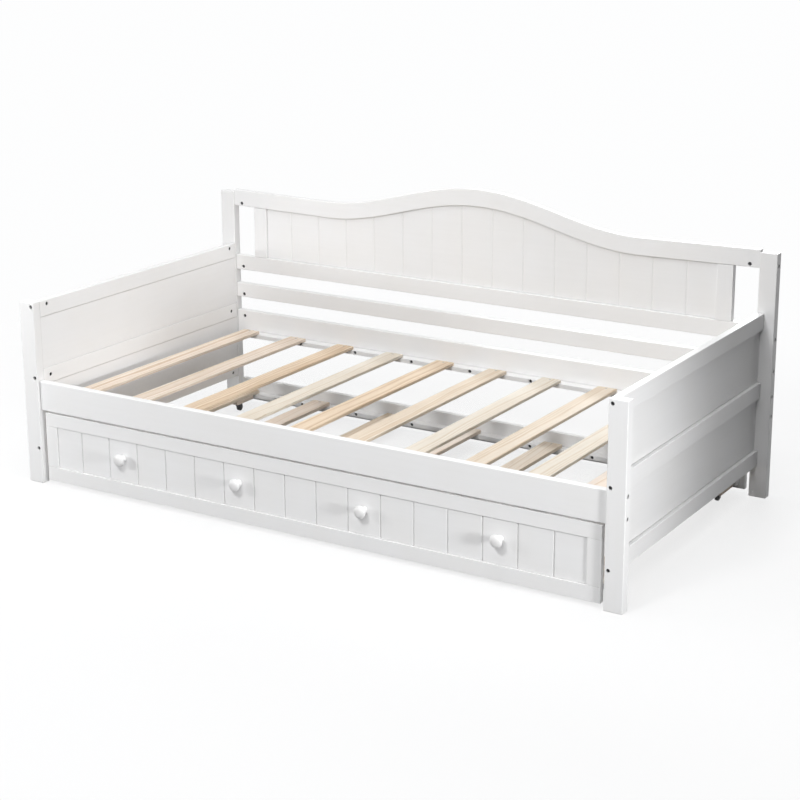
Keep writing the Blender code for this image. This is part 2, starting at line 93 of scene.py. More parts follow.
# ----------------------------------------------------------- trundle frame
TRUNDLE_RAIL_TOP = 0.042        # height of the frame's upper member
TRUNDLE_RAIL_BOTTOM = 0.044     # height of the frame's lower member
TRUNDLE_STILE = 0.042           # width of the frame's end members

# ---------------------------------------------------------------- hardware
HOLE_RADIUS = 0.0058
HOLE_LIP = 0.0004               # chamfer round a drilled hole
HOLE_DEPTH = 0.0110
CUTTER_REACH = 0.002            # a hole cutter stands out of the face by this much
BOLT_RADIUS = 0.0054
BOLT_REAR = 0.0100              # rear end of a bolt or barrel nut below the board's face
BOLT_RECESS = 0.0036            # bolt head below the board's face
NUT_RECESS = 0.0022             # barrel nut below the board's face
BOLT_INSET = 0.0105             # side rail bolts from the inner edge of a leg
NUT_SETBACK = 0.031             # barrel nuts from the end of their rail
SIDE_BOLT_Z = (0.113, 0.338, 0.562)
FRONT_RAIL_BOLT_Z = (0.257, 0.319)
BACK_BOLT_Z = (0.258, 0.319, 0.397, 0.496, 0.719)
PILOT_RADIUS = 0.0016
PILOT_INSET = 0.013             # pilot hole from the inner edge of a post
PILOT_Z = 0.018                 # height of the pilot hole above the floor
SCREW_RADIUS = 0.0036
SLAT_SCREW_INSET = 0.0130       # screw from the end of a slat
LEDGER_BOLT_COUNT = 9
LEDGER_BOLT_PITCH = 0.223
LATHE_STEPS = 32
SCREW_STEPS = 40

# -------------------------------------------------------------------- tones
SLAT_TONES = (0, 0, 2, 3, 2, 1, 3, 1, 3, 0)     # places in PINES, from left to right
# The trundle's slats get the lighter pine tones, to offset the shade these low boards lie in:
# painted light.
TRUNDLE_TONES = (0, 1, 0, 1, 0)
CASTER_SLAT_TONE = 1
CASTER_BLOCK_TONE = 0

# ------------------------------------------------------------------- knobs
KNOB_COUNT = 4
KNOB_DOME = 0.0105              # length of the domed end
KNOB_DOME_STEPS = 10
KNOB_FOOT = ((0.0, 0.0), (0.0118, 0.0), (0.0124, 0.0006), (0.0122, 0.0018))
KNOB_NECK = ((0.0106, 0.0030), (0.0090, 0.0050), (0.0082, 0.0075), (0.0081, 0.0100),
             (0.0086, 0.0125), (0.0100, 0.0148), (0.0126, 0.0168), (0.0156, 0.0183))

# ----------------------------------------------------------------- casters
PLATE_SIZE = 0.034
PLATE_THICKNESS = 0.0016
PLATE_CORNER = 0.004
PLATE_SCREW_INSET = 0.0055
CHEEK_THICKNESS = 0.0021
FORK_NOSE = 0.0088              # from the swivel axis to the front of the fork
FORK_EYE = 0.0052               # radius of the fork round the axle
CROWN_RISE = 0.0065             # top of the crown above the wheel
CROWN_THICKNESS = 0.0042
WHEEL_RADIUS = 0.0125

# ------------------------------------------------------------------- grain
GOLDEN_TURN = 2.399963          # turn between one board and the next in the tree
GRAIN_STRIDE = 1.37             # step along the grain from one board to the next
GRAIN_DEPTH = 0.050             # from a board to the middle of the tree
GRAIN_SPREAD = 0.020


def node_box(name):
    """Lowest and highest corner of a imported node."""
    low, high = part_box(name)
    return Vector(low), Vector(high)


def centred_places(count, pitch):
    """Evenly spaced places on both sides of zero."""
    return [(index - (count - 1) / 2) * pitch for index in range(count)]


# ================================================================ materials
class Shader:
    """A material's node tree, with one short call for each node."""

    def __init__(self, name):
        self.material = bpy.data.materials.new(name)
        self.material.use_nodes = True
        self.tree = self.material.node_tree
        self.surface = self.tree.nodes["Principled BSDF"]

    def node(self, kind, inputs=(), **settings):
        """A new node with its inputs as values or sockets, and its settings."""
        made = self.tree.nodes.new(kind)
        for key, value in settings.items():
            setattr(made, key, value)
        for socket, value in dict(inputs).items():
            self.feed(made.inputs[socket], value)
        return made

    def feed(self, socket, value):
        """Links a socket to an input, or sets the input's value."""
        if isinstance(value, bpy.types.NodeSocket):
            self.tree.links.new(value, socket)
        else:
            socket.default_value = value

    def set(self, **values):
        """Values or sockets for the Principled shader, as Base_Color=..."""
        for name, value in values.items():
            self.feed(self.surface.inputs[name.replace("_", " ")], value)

    def math(self, operation, first, second=0.0):
        inputs = {0: first, 1: second}
        return self.node("ShaderNodeMath", inputs, operation=operation).outputs[0]

    def scaled(self, vector, factors):
        inputs = {0: vector, 1: factors}
        return self.node("ShaderNodeVectorMath", inputs, operation="MULTIPLY").outputs[0]

    def shifted(self, vector, offset):
        inputs = {0: vector, 1: offset}
        return self.node("ShaderNodeVectorMath", inputs, operation="ADD").outputs[0]

    def noise(self, vector, scale, detail=2.0, roughness=0.5):
        inputs = {"Vector": vector, "Scale": scale, "Detail": detail,
                  "Roughness": roughness}
        return self.node("ShaderNodeTexNoise", inputs).outputs["Fac"]

    def spread(self, value, low, high, to_low=0.0, to_high=1.0):
        """Maps low..high to to_low..to_high, held at both ends."""
        inputs = {0: value, 1: low, 2: high, 3: to_low, 4: to_high}
        return self.node("ShaderNodeMapRange", inputs).outputs[0]

    def ramp(self, factor, stops):
        """A colour for each factor from (place, colour) stops in rising order."""
        made = self.node("ShaderNodeValToRGB", {0: factor})
        points = made.color_ramp.elements
        while len(points) < len(stops):
            points.new(0.5)
        for point, (place, colour) in zip(points, stops):
            point.position = place
            point.color = (*colour, 1.0)
        return made.outputs[0]

    def mix(self, factor, first, second):
        """The first colour at factor 0 and the second at factor 1."""
        made = self.node("ShaderNodeMix", data_type="RGBA", blend_type="MIX")
        self.feed(made.inputs[0], factor)
        for place, colour in ((6, first), (7, second)):
            if not isinstance(colour, bpy.types.NodeSocket):
                colour = (*colour, 1.0)
            self.feed(made.inputs[place], colour)
        return made.outputs[2]

    def bump(self, height, strength, distance, below=None):
        """A normal from a height, on top of the normal below it."""
        inputs = {"Height": height, "Strength": strength, "Distance": distance}
        if below is not None:
            inputs["Normal"] = below
        return self.node("ShaderNodeBump", inputs).outputs["Normal"]

    def grain_place(self):
        """Place in the board as (across, along, through), in metres."""
        made = self.node("ShaderNodeAttribute", attribute_name="grain")
        return made.outputs["Vector"]

    def edge_share(self, radius, low, high):
        """1 on a rounded edge and 0 on the flat of a board."""
        rounded = self.node("ShaderNodeBevel", {"Radius": radius}, samples=4)
        flat = self.node("ShaderNodeNewGeometry").outputs["Normal"]
        inputs = {0: rounded.outputs[0], 1: flat}
        dot = self.node("ShaderNodeVectorMath", inputs, operation="DOT_PRODUCT")
        return self.spread(dot.outputs["Value"], high, low)

    def hollow_shade_share(self, reach, low, high):
        """1 deep in a groove or joint and 0 on open faces, from ambient occlusion: the mask for
        painted shade in hollows.
        """
        made = self.node("ShaderNodeAmbientOcclusion", {"Distance": reach}, samples=6)
        return self.spread(made.outputs["AO"], low, high, 1.0, 0.0)


def painted_wood(name, colour, gloss):
    """Satin paint on close-grained wood: faint grain, roller texture, worn edges, and painted shade
    in grooves and joints.
    """
    shader = Shader(name)
    place = shader.grain_place()
    along = shader.scaled(place, (1.0, 0.035, 1.0))
    fibre = shader.noise(along, 620.0, 3.0, 0.6)
    streak = shader.noise(along, 90.0, 2.0)
    roller = shader.noise(place, 420.0, 2.0, 0.6)
    cloud = shader.noise(place, 7.0, 3.0)
    edge = shader.edge_share(0.0025, 0.80, 0.985)
    nick = shader.spread(shader.noise(place, 160.0, 4.0, 0.7), 0.58, 0.66)
    worn = shader.math("MULTIPLY", edge, nick)

    warm = tuple(part * factor for part, factor in zip(colour, (0.992, 0.988, 0.980)))
    tone = shader.spread(cloud, 0.35, 0.65)
    base = shader.mix(tone, colour, warm)
    shade = shader.spread(streak, 0.40, 0.62, 0.0, 0.025)
    base = shader.mix(shade, base, (0.60, 0.59, 0.57))
    thin = shader.math("MULTIPLY", worn, 0.22)
    base = shader.mix(thin, base, (0.70, 0.63, 0.52))
    # Painted shade: grooves, joints and other hollows are darkened towards dark grey by ambient
    # occlusion.
    painted_hollow_shade = shader.math("MULTIPLY", shader.hollow_shade_share(0.0050, 0.45, 0.92), 0.32)
    base = shader.mix(painted_hollow_shade, base, (0.32, 0.31, 0.30))
    rough = shader.spread(roller, 0.30, 0.70, gloss - 0.06, gloss + 0.07)
    rough = shader.math("ADD", rough, shader.math("MULTIPLY", worn, 0.18))

    relief = shader.bump(fibre, 0.08, 0.0005)
    relief = shader.bump(roller, 0.10, 0.0005, relief)
    shader.set(Base_Color=base, Roughness=rough, Normal=relief)
    shader.set(Coat_Weight=0.12, Coat_Roughness=0.22, IOR=1.47)
    return shader.material


def knot_pull(shader, place):
    """1 in the middle of a knot, falling to 0 round it, with most places knot-free."""
    knot_place = shader.scaled(place, (5.5, 2.6, 0.0))
    cell = shader.node("ShaderNodeTexVoronoi", {"Vector": knot_place, "Scale": 1.0})
    near_knot = shader.spread(cell.outputs["Distance"], 0.0, 0.16, 1.0, 0.0)
    chance = shader.node("ShaderNodeSeparateColor", {0: cell.outputs["Color"]})
    chosen = shader.spread(chance.outputs[0], 0.62, 0.64)
    return shader.math("MULTIPLY", near_knot, chosen)


def growth_ring(shader, place, pull, ring_gap):
    """Share of the way from one growth ring to the next, bent round the knots."""
    wander = shader.noise(shader.scaled(place, (6.0, 1.6, 6.0)), 1.0, 2.0)
    parts = shader.node("ShaderNodeSeparateXYZ", {0: place})
    across = shader.math("ADD", parts.outputs[0],
                         shader.spread(wander, 0.0, 1.0, -0.030, 0.030))
    squared = shader.math("ADD", shader.math("POWER", across, 2.0),
                          shader.math("POWER", parts.outputs[2], 2.0))
    reach = shader.math("SQRT", squared)
    reach = shader.math("ADD", reach, shader.math("MULTIPLY", pull, 0.010))
    ripple = shader.noise(shader.scaled(place, (60.0, 5.0, 60.0)), 1.0, 3.0)
    reach = shader.math("ADD", reach, shader.math("MULTIPLY", ripple, 0.0016))
    return shader.math("FRACT", shader.math("MULTIPLY", reach, 1.0 / ring_gap))


def bare_pine(name, early, late, ring_gap, seed):
    """Planed pine: bent growth rings, fine fibres, a few knots and handled edges."""
    shader = Shader(name)
    place = shader.shifted(shader.grain_place(), (0.0, seed, 0.0))
    pull = knot_pull(shader, place)
    ring = growth_ring(shader, place, pull, ring_gap)
    fibre_place = shader.scaled(place, (1.0, 0.030, 1.0))
    fibre = shader.noise(fibre_place, 900.0, 4.0, 0.65)
    streak = shader.noise(fibre_place, 140.0, 3.0)
    cloud = shader.noise(shader.scaled(place, (1.0, 0.25, 1.0)), 16.0, 2.0)

    late_soft = tuple(0.55 * a + 0.45 * b for a, b in zip(early, late))
    wood = shader.ramp(ring, [(0.0, early), (0.45, early), (0.80, late_soft),
                              (0.94, late), (1.0, early)])
    wood = shader.mix(shader.spread(cloud, 0.35, 0.70, 0.0, 0.35), wood, late_soft)
    wood = shader.mix(shader.spread(streak, 0.50, 0.75, 0.0, 0.30), wood, late)
    pores = shader.spread(fibre, 0.56, 0.72, 0.0, 0.30)
    wood = shader.mix(pores, wood, tuple(0.55 * part for part in late))
    eye = shader.spread(pull, 0.62, 0.80)
    wood = shader.mix(shader.math("MULTIPLY", eye, 0.85), wood, (0.20, 0.095, 0.040))
    halo = shader.spread(pull, 0.25, 0.62, 0.0, 0.35)
    wood = shader.mix(halo, wood, late)
    edge = shader.edge_share(0.0012, 0.80, 0.985)
    handled = shader.math("MULTIPLY", edge, shader.spread(streak, 0.35, 0.65, 0.1, 0.5))
    wood = shader.mix(handled, wood, tuple(0.70 * part for part in late))

    rough = shader.spread(fibre, 0.30, 0.70, 0.52, 0.72)
    relief = shader.bump(ring, 0.10, 0.0004)
    relief = shader.bump(fibre, 0.30, 0.0005, relief)
    shader.set(Base_Color=wood, Roughness=rough, Normal=relief)
    shader.set(IOR=1.45, Sheen_Weight=0.04)
    return shader.material


def steel(name, colour, roughness):
    """Bright or darkened steel: cloudy plating, fine turning marks and dulled spots."""
    shader = Shader(name)
    place = shader.node("ShaderNodeTexCoord").outputs["Object"]
    cloud = shader.noise(place, 350.0, 3.0)
    scratch = shader.noise(shader.scaled(place, (1.0, 1.0, 6.0)), 2600.0, 2.0)
    dull = tuple(0.62 * part for part in colour)
    tint = shader.mix(shader.spread(cloud, 0.35, 0.65), colour, dull)
    rough = shader.spread(scratch, 0.30, 0.70, roughness - 0.08, roughness + 0.12)
    shader.set(Base_Color=tint, Metallic=1.0, Roughness=rough)
    shader.set(Normal=shader.bump(scratch, 0.20, 0.0001))
    return shader.material


def moulded_plastic(name, colour, roughness, scuff):
    """Black moulded plastic: fine spark texture, grey scuffs and dusty edges."""
    shader = Shader(name)
    place = shader.node("ShaderNodeTexCoord").outputs["Object"]
    spark = shader.noise(place, 2400.0, 3.0, 0.6)
    cloud = shader.noise(place, 240.0, 4.0, 0.65)
    edge = shader.edge_share(0.0008, 0.75, 0.98)
    rubbed = shader.spread(cloud, 0.52, 0.70, 0.0, scuff)
    rubbed = shader.math("ADD", rubbed, shader.math("MULTIPLY", edge, 0.5 * scuff))
    tint = shader.mix(rubbed, colour, (0.16, 0.155, 0.15))
    rough = shader.spread(spark, 0.30, 0.70, roughness - 0.07, roughness + 0.10)
    shader.set(Base_Color=tint, Roughness=rough, IOR=1.49)
    shader.set(Normal=shader.bump(spark, 0.25, 0.0002))
    return shader.material


PAINT = painted_wood("satin_white_paint", (0.860, 0.862, 0.868), 0.42)
# The knobs get a darker copy of the white paint, so that they show less light: painted shade.
SHADED_KNOB_PAINT = painted_wood("satin_white_paint_shaded_for_knobs", (0.790, 0.790, 0.794), 0.34)
PINES = (
    bare_pine("pine_straw", (0.816, 0.724, 0.636), (0.575, 0.412, 0.264), 0.0052, 0.0),
    bare_pine("pine_honey", (0.790, 0.707, 0.600), (0.551, 0.390, 0.230), 0.0040, 7.0),
    bare_pine("pine_amber", (0.785, 0.650, 0.500), (0.486, 0.305, 0.157), 0.0046, 13.0),
    bare_pine("pine_cream", (0.767, 0.713, 0.624), (0.567, 0.440, 0.300), 0.0060, 19.0),
)
ZINC = steel("zinc_plate", (0.52, 0.52, 0.53), 0.34)
DARK_STEEL = steel("darkened_steel", (0.085, 0.085, 0.09), 0.42)
FORK_PLASTIC = moulded_plastic("caster_fork_plastic", (0.018, 0.018, 0.019), 0.42, 0.20)
WHEEL_PLASTIC = moulded_plastic("caster_wheel_plastic", (0.026, 0.026, 0.027), 0.55, 0.45)


# ===================================================================== mesh
def rounded_box(low, high, radius):
    """A box with every edge rounded."""
    shape = bmesh.new()
    bmesh.ops.create_cube(shape, size=1.0)
    size = high - low
    bmesh.ops.scale(shape, vec=size, verts=shape.verts)
    bmesh.ops.translate(shape, vec=(low + high) / 2, verts=shape.verts)
    bmesh.ops.bevel(shape, geom=list(shape.edges), offset=radius, segments=EDGE_SEGMENTS,
                    profile=0.5, affect="EDGES", clamp_overlap=True)
    return shape


def join(shape, other):
    """Adds other to shape as a separate closed body, and frees other."""
    copies = {vert: shape.verts.new(vert.co) for vert in other.verts}
    for face in other.faces:
        shape.faces.new([copies[vert] for vert in face.verts])
    other.free()


def loft(rings):
    """A closed body through rings of equally many points."""
    shape = bmesh.new()
    rows = [[shape.verts.new(point) for point in ring] for ring in rings]
    count = len(rows[0])
    for here, after in zip(rows, rows[1:]):
        for index in range(count):
            follow = (index + 1) % count
            shape.faces.new((here[index], here[follow], after[follow], after[index]))
    shape.faces.new(rows[0])
    shape.faces.new(rows[-1])
    bmesh.ops.recalc_face_normals(shape, faces=shape.faces)
    return shape


def slot_reach(angle, half_length, half_width):
    """Distance from the middle of a rectangle to its edge."""
    along = abs(math.cos(angle)) / half_length
    across = abs(math.sin(angle)) / half_width
    return 1.0 / max(along, across)


def outline_reach(outline, radius, angle):
    """Distance from the axis to a ring's edge, for the ring's kind of outline."""
    if outline == "hex":
        off = angle % (math.pi / 3) - math.pi / 6
        return radius * math.cos(math.pi / 6) / math.cos(off)
    if outline == "slot":
        return slot_reach(angle, radius, 0.25 * radius)
    if outline == "cross":
        arms = (slot_reach(angle + turn, radius, 0.24 * radius) for turn in (0.0, math.pi / 2))
        return max(arms)
    return radius


def turned(profile, origin, axis, steps=LATHE_STEPS):
    """A body turned about axis from (radius, along) or (radius, along, outline).

    The profile starts and ends on the axis, or else it is a ring closed on itself.
    """
    shape = bmesh.new()
    rings = []
    for radius, along, *outline in profile:
        if radius == 0.0:
            rings.append([shape.verts.new((0.0, 0.0, along))])
            continue
        ring = []
        for index in range(steps):
            angle = math.tau * index / steps
            reach = outline_reach(outline[0] if outline else "round", radius, angle)
            point = (reach * math.cos(angle), reach * math.sin(angle), along)
            ring.append(shape.verts.new(point))
        rings.append(ring)
    pairs = list(zip(rings, rings[1:]))
    if profile[0][0] > 0.0:
        pairs.append((rings[-1], rings[0]))
    for lower, upper in pairs:
        for index in range(steps):
            follow = (index + 1) % steps
            corners = [lower[index % len(lower)], lower[follow % len(lower)]]
            corners += [upper[follow % len(upper)], upper[index % len(upper)]]
            shape.faces.new(list(dict.fromkeys(corners)))
    turn = Vector((0.0, 0.0, 1.0)).rotation_difference(Vector(axis)).to_matrix()
    place = Matrix.Translation(origin) @ turn.to_4x4()
    bmesh.ops.transform(shape, matrix=place, verts=shape.verts)
    bmesh.ops.recalc_face_normals(shape, faces=shape.faces)
    return shape


def mesh_of(name, shape):
    """A mesh from a bmesh, which is freed."""
    mesh = bpy.data.meshes.new(name)
    shape.to_mesh(mesh)
    shape.free()
    return mesh


def combined(shape, tool, operation):
    """shape with tool taken away from it or joined to it, as a new bmesh."""
    scene_objects = bpy.context.scene.collection.objects
    makers = []
    for name, part in (("part", shape), ("tool", tool)):
        maker = bpy.data.objects.new(name, mesh_of(name, part))
        scene_objects.link(maker)
        makers.append(maker)
    step = makers[0].modifiers.new("combine", "BOOLEAN")
    step.operation = operation
    step.solver = "EXACT"
    step.use_self = operation == "UNION"
    step.object = makers[1]
    bpy.context.view_layer.update()
    graph = bpy.context.evaluated_depsgraph_get()
    mesh = bpy.data.meshes.new_from_object(makers[0].evaluated_get(graph))
    result = bmesh.new()
    result.from_mesh(mesh)
    for maker in makers:
        bpy.data.objects.remove(maker, do_unlink=True)
    bpy.data.meshes.remove(mesh)
    return result


def write_grain(mesh, low, high, number):
    """Stores each point's place across, along and through its board.

    Every board is offset by its number, so no two show the same figure, and the
    middle of the tree lies a few centimetres outside the board.
    """
    size = high - low
    order = sorted(range(3), key=lambda axis: size[axis])
    through, across, along = order
    middle = (low + high) / 2
    turn = number * GOLDEN_TURN
    offset = Vector((GRAIN_SPREAD * math.cos(turn), GRAIN_STRIDE * number,
                     GRAIN_DEPTH + GRAIN_SPREAD * math.sin(turn)))
    layer = mesh.attributes.new("grain", "FLOAT_VECTOR", "POINT")
    for vertex, item in zip(mesh.vertices, layer.data):
        place = vertex.co - middle
        item.vector = Vector((place[across], place[along], place[through])) + offset


def add_piece(name, shape, material, body, slot, nodes=()):
    """A shown piece from a bmesh: it rides on body and stands for the CAD nodes."""
    mesh = mesh_of(name, shape)
    mesh.materials.append(material)
    mesh.shade_smooth()
    mesh.set_sharp_from_angle(angle=SHARP_ANGLE)
    corners = [vertex.co for vertex in mesh.vertices]
    low = Vector(min(corner[axis] for corner in corners) for axis in range(3))
    high = Vector(max(corner[axis] for corner in corners) for axis in range(3))
    add_piece.made += 1
    write_grain(mesh, low, high, add_piece.made)
    piece = bpy.data.objects.new(name, mesh)
    bpy.context.scene.collection.objects.link(piece)
    even = piece.modifiers.new("even_faces", "WEIGHTED_NORMAL")
    even.keep_sharp = True
    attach(piece, body)
    if nodes:
        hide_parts(*nodes)
    return piece


add_piece.made = 0


# ================================================================= fittings
def hole_cutter(place, outward, radius=HOLE_RADIUS):
    """The hollow of a drilled hole with a chamfered lip; place is on the face."""
    profile = [(0.0, -HOLE_DEPTH), (radius, -HOLE_DEPTH), (radius, -HOLE_LIP),
               (radius + HOLE_LIP, 0.0), (radius + HOLE_LIP, CUTTER_REACH),
               (0.0, CUTTER_REACH)]
    return turned(profile, place, outward)


def bolt_head(place, outward):
    """A domed bolt head with a hexagon socket, sunk into its hole."""
    top = -BOLT_RECESS
    profile = [(0.0, top - 0.0030), (0.0024, top - 0.0030, "hex"),
               (0.0025, top - 0.0003, "hex"), (0.0030, top), (0.0042, top - 0.0002),
               (0.0050, top - 0.0008), (BOLT_RADIUS, top - 0.0018),
               (BOLT_RADIUS, -BOLT_REAR), (0.0, -BOLT_REAR)]
    return turned(profile, place, outward)


def barrel_nut(place, outward):
    """The slotted end of a barrel nut, sunk a little below the board's face."""
    top = -NUT_RECESS
    profile = [(0.0, top - 0.0014), (0.0043, top - 0.0014, "slot"),
               (0.0043, top - 0.0001, "slot"), (0.0048, top), (BOLT_RADIUS, top - 0.0005),
               (BOLT_RADIUS, -BOLT_REAR), (0.0, -BOLT_REAR)]
    return turned(profile, place, outward)


def screw_head(place, outward):
    """A countersunk cross-head screw with its rim level with the board's face."""
    lift = 0.0003
    profile = [(0.0, -0.0012), (0.0009, -0.0011, "cross"), (0.0020, lift - 0.0001, "cross"),
               (0.0024, lift), (0.0033, lift - 0.0001), (SCREW_RADIUS, lift - 0.0004),
               (SCREW_RADIUS, 0.0), (0.0016, -0.0022), (0.0, -0.0022)]
    return turned(profile, place, outward, SCREW_STEPS)


def countersink(place, outward):
    """The hollow that takes a screw head."""
    edge = SCREW_RADIUS + 0.0002
    profile = [(0.0, -0.0026), (0.0018, -0.0024), (edge, 0.0002), (edge, CUTTER_REACH),
               (0.0, CUTTER_REACH)]
    return turned(profile, place, outward)


class Fittings:
    """Collects bolts, nuts and screws by kind and by the body they ride on."""

    def __init__(self):
        self.shapes = {}

    def add(self, kind, body, shape):
        held = self.shapes.setdefault((kind, body), bmesh.new())
        join(held, shape)

    def build(self):
        """One piece for each kind of fitting on each body."""
        looks = {"bolts": DARK_STEEL, "barrel_nuts": DARK_STEEL, "screws": ZINC,
                 "plate_screws": ZINC}
        for (kind, body), shape in self.shapes.items():
            add_piece(f"{body}_{kind}", shape, looks[kind], body, "zinc_steel")


fittings = Fittings()


def drilled(shape, body, bolts=(), nuts=(), screws=(), pilots=()):
    """shape with holes for the fittings, which are added to the collection."""
    cutters = bmesh.new()
    for place, outward in bolts:
        join(cutters, hole_cutter(place, outward))
        fittings.add("bolts", body, bolt_head(place, outward))
    for place, outward in nuts:
        join(cutters, hole_cutter(place, outward))
        fittings.add("barrel_nuts", body, barrel_nut(place, outward))
    for place, outward in screws:
        join(cutters, countersink(place, outward))
        fittings.add("screws", body, screw_head(place, outward))
    for place, outward in pilots:
        join(cutters, hole_cutter(place, outward, PILOT_RADIUS))
    if not cutters.verts:
        cutters.free()
        return shape
    return combined(shape, cutters, "DIFFERENCE")


# ============================================================ daybed boards
def add_board(node, body="daybed", edge=PAINT_EDGE, **holes):
    """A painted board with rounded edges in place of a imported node."""
    low, high = node_box(node)
    shape = drilled(rounded_box(low, high, edge), body, **holes)
    return add_piece(f"{node}_board", shape, PAINT, body, "white_paint", [node])


def build_legs_and_posts():
    """Front legs and back posts, with the bolts that hold the rails to them."""
    front_low = node_box("front_leg_left")[0]
    for side, word in SIDES:
        low, high = node_box(f"front_leg_{word}")
        inner_x, outer_x = (low.x, high.x) if side > 0 else (high.x, low.x)
        bolt_x = inner_x + side * BOLT_INSET
        middle_y = (low.y + high.y) / 2
        outward = (side, 0.0, 0.0)
        bolts = [(Vector((bolt_x, front_low.y, z)), (0.0, -1.0, 0.0)) for z in SIDE_BOLT_Z]
        bolts += [(Vector((outer_x, middle_y, z)), outward) for z in FRONT_RAIL_BOLT_Z]
        add_board(f"front_leg_{word}", bolts=bolts)

        low, high = node_box(f"back_post_{word}")
        middle_y = (low.y + high.y) / 2
        bolts = [(Vector((bolt_x, high.y, z)), (0.0, 1.0, 0.0)) for z in SIDE_BOLT_Z]
        bolts += [(Vector((outer_x, middle_y, z)), outward) for z in BACK_BOLT_Z]
        pilot = Vector((inner_x + side * PILOT_INSET, low.y, PILOT_Z))
        add_board(f"back_post_{word}", bolts=bolts, pilots=[(pilot, (0.0, -1.0, 0.0))])


def build_side_rails():
    """The rails of both arms, with barrel nuts on their inner faces."""
    for side, word in SIDES:
        for level, z in zip(("lower", "middle", "top"), SIDE_BOLT_Z):
            node = f"side_{level}_rail_{word}"
            low, high = node_box(node)
            inner_x = low.x if side > 0 else high.x
            places = (low.y + NUT_SETBACK, high.y - NUT_SETBACK)
            nuts = [(Vector((inner_x, y, z)), (-side, 0.0, 0.0)) for y in places]
            add_board(node, nuts=nuts)


def nuts_near_ends(low, high, face_y, heights, outward):
    """Barrel nuts at both ends of a board along X."""
    places = (low.x + NUT_SETBACK, high.x - NUT_SETBACK)
    return [(Vector((x, face_y, z)), outward) for x in places for z in heights]


def build_cross_rails():
    """The long rails of the back and the front, with barrel nuts near their ends."""
    levels = {
        "back_rail": BACK_BOLT_Z[0:2],
        "back_mid_rail": BACK_BOLT_Z[2:3],
        "back_panel_rail": BACK_BOLT_Z[3:4],
    }
    for node, heights in levels.items():
        low, high = node_box(node)
        nuts = nuts_near_ends(low, high, low.y, heights, (0.0, -1.0, 0.0))
        add_board(node, nuts=nuts)
    low, high = node_box("front_rail")
    nuts = nuts_near_ends(low, high, high.y, FRONT_RAIL_BOLT_Z, (0.0, 1.0, 0.0))
    add_board("front_rail", nuts=nuts)


def build_ledgers():
    """The ledgers under the slat ends, bolted to the rail beside each one."""
    for body, prefix in (("daybed", ""), ("trundle", "trundle_")):
        for end, sign in ENDS:
            node = f"{prefix}{end}_ledger"
            low, high = node_box(node)
            face_y = low.y if sign > 0 else high.y
            height = (low.z + high.z) / 2
            bolts = []
            for x in centred_places(LEDGER_BOLT_COUNT, LEDGER_BOLT_PITCH):
                bolts.append((Vector((x, face_y, height)), (0.0, -sign, 0.0)))
            add_board(node, body, THIN_EDGE, bolts=bolts)


# =================================================================== panels
def groove_stations(half_length, step, grooves):
    """Places along a panel as (x, depth of its face), with rounded grooves."""
    count, pitch, depth = grooves
    half_width = GROOVE_WIDTH / 2
    marks = [(-half_length, 0.0)]
    for place in centred_places(count, pitch):
        marks += [
            (place - half_width - GROOVE_SHOULDER, 0.0),
            (place - half_width, 0.12 * depth),
            (place - GROOVE_FLOOR / 2, depth),
            (place + GROOVE_FLOOR / 2, depth),
            (place + half_width, 0.12 * depth),
            (place + half_width + GROOVE_SHOULDER, 0.0),
        ]
    marks.append((half_length, 0.0))
    places = [marks[0]]
    for here, after in zip(marks, marks[1:]):
        pieces = max(1, math.ceil((after[0] - here[0]) / step - 1e-6))
        for index in range(1, pieces + 1):
            share = index / pieces
            places.append((here[0] + (after[0] - here[0]) * share,
                           here[1] + (after[1] - here[1]) * share))
    return places


def grooved_panel(places, thickness, bottom, top):
    """A board of upright sections along X, its grooved face towards -Y at y = 0."""
    rings = []
    for x, depth in places:
        low, high = bottom(x), top(x)
        rings.append([(x, depth, low), (x, depth, high), (x, thickness, high),
                      (x, thickness, low)])
    return loft(rings)


def arch_rise():
    """Height of the middle of the arch above its shoulders."""
    return node_box("back_arch_rail")[1].z - ARCH_SHOULDER_Z


def arch_top(x):
    """Height of the arch rail's upper edge: an S-curve up to the middle."""
    reach = abs(x) / ARCH_HALF_WIDTH
    if reach < 1.0:
        return ARCH_SHOULDER_Z + arch_rise() * (0.5 + 0.5 * math.cos(math.pi * reach))
    inner_x = node_box("back_post_right")[0].x
    share = (abs(x) - ARCH_HALF_WIDTH) / (inner_x - ARCH_HALF_WIDTH)
    return ARCH_SHOULDER_Z + (ARCH_END_Z - ARCH_SHOULDER_Z) * share


def build_back_panel():
    """The grooved panel below the arch and the stiles at its ends."""
    low, high = node_box("back_panel")

    def below_arch(x):
        return arch_top(x) - ARCH_RAIL_HEIGHT - JOINT_GAP

    places = groove_stations(high.x, PANEL_STEP, BACK_GROOVES)
    shape = grooved_panel(places, high.y - low.y, lambda x: low.z, below_arch)
    bmesh.ops.translate(shape, vec=(0.0, low.y, 0.0), verts=shape.verts)
    add_piece("back_panel_boards", shape, PAINT, "daybed", "white_paint", ["back_panel"])

    for _, word in SIDES:
        node = f"back_stile_{word}"
        low, high = node_box(node)
        shape = rounded_box(low, high, THIN_EDGE)
        middle_z = (low.z + high.z) / 2
        for vert in shape.verts:
            if vert.co.z > middle_z:
                vert.co.z += below_arch(vert.co.x) - high.z
        add_piece(f"{node}_board", shape, PAINT, "daybed", "white_paint", [node])


def rounded_section(y_span, z_span, radius, segments=EDGE_SEGMENTS):
    """Points (y, z) round a rectangle with rounded corners."""
    corners = (
        (y_span[1] - radius, z_span[1] - radius, 0),
        (y_span[0] + radius, z_span[1] - radius, 1),
        (y_span[0] + radius, z_span[0] + radius, 2),
        (y_span[1] - radius, z_span[0] + radius, 3),
    )
    points = []
    for y, z, quarter in corners:
        for index in range(segments + 1):
            angle = math.pi / 2 * (quarter + index / segments)
            points.append((y + radius * math.cos(angle), z + radius * math.sin(angle)))
    return points


